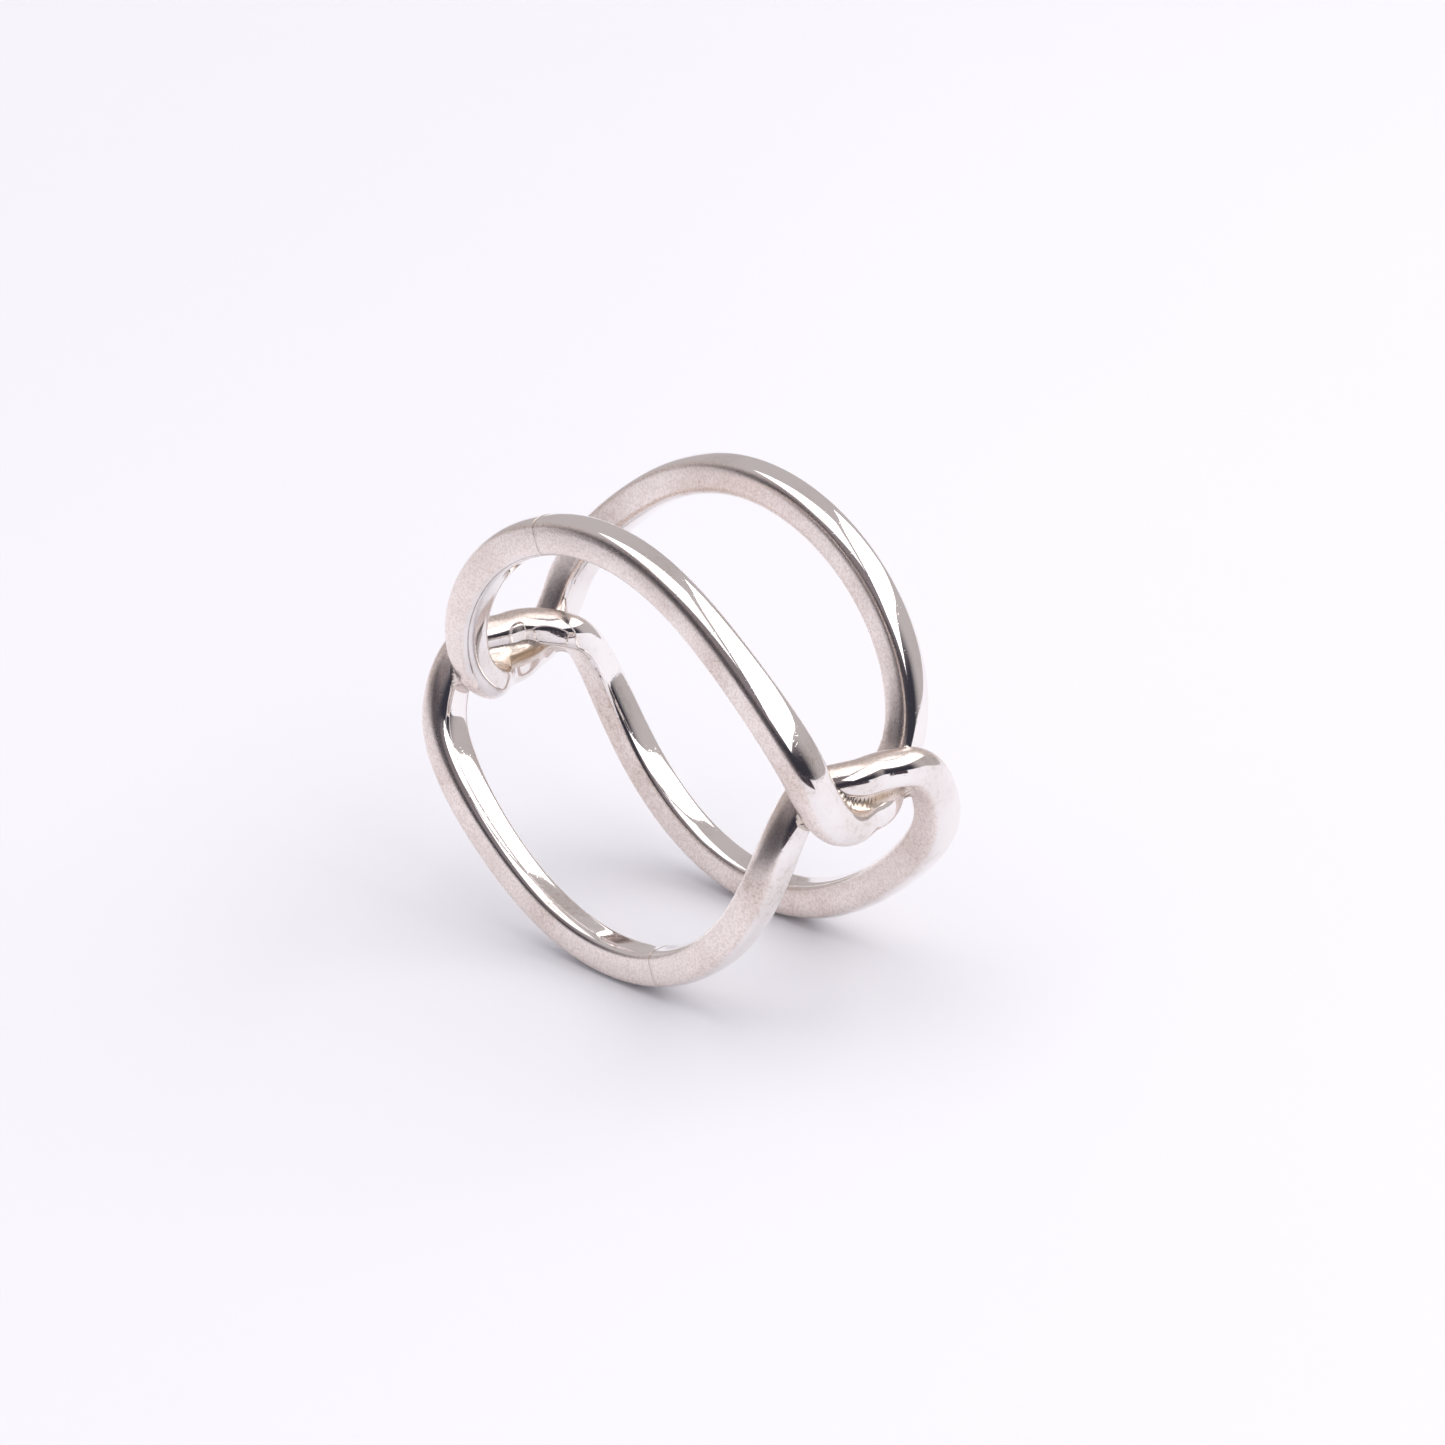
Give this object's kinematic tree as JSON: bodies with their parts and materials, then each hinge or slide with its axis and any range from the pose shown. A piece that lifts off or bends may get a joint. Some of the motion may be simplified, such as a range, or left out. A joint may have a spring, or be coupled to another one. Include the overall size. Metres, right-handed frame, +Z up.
{
  "type": "finger ring",
  "caption": "Open finger ring of rounded silver wire links that interlock and are soldered at each side, with long windows between the rails.",
  "frame": {"origin": "centre of the finger hole, midway across the band", "axes": "+Y along the finger hole, from the front rails to the back rails; +X towards the right-hand crossing; +Z up through the middle of the upper link"},
  "size_m": [0.0244, 0.0104, 0.0206],
  "materials": {
    "polished_silver": "mirror-polished silver with fine wear scratches and light tarnish",
    "silver_solder": "slightly rough, warm grey silver solder"
  },
  "bodies": {
    "root": {"upper_link": "polished_silver", "lower_link": "polished_silver", "upper_link_seam": "silver_solder", "lower_link_seam": "silver_solder", "right_front_solder": "silver_solder", "right_back_solder": "silver_solder", "left_front_solder": "silver_solder", "left_back_solder": "silver_solder"}
  },
  "joints": []
}
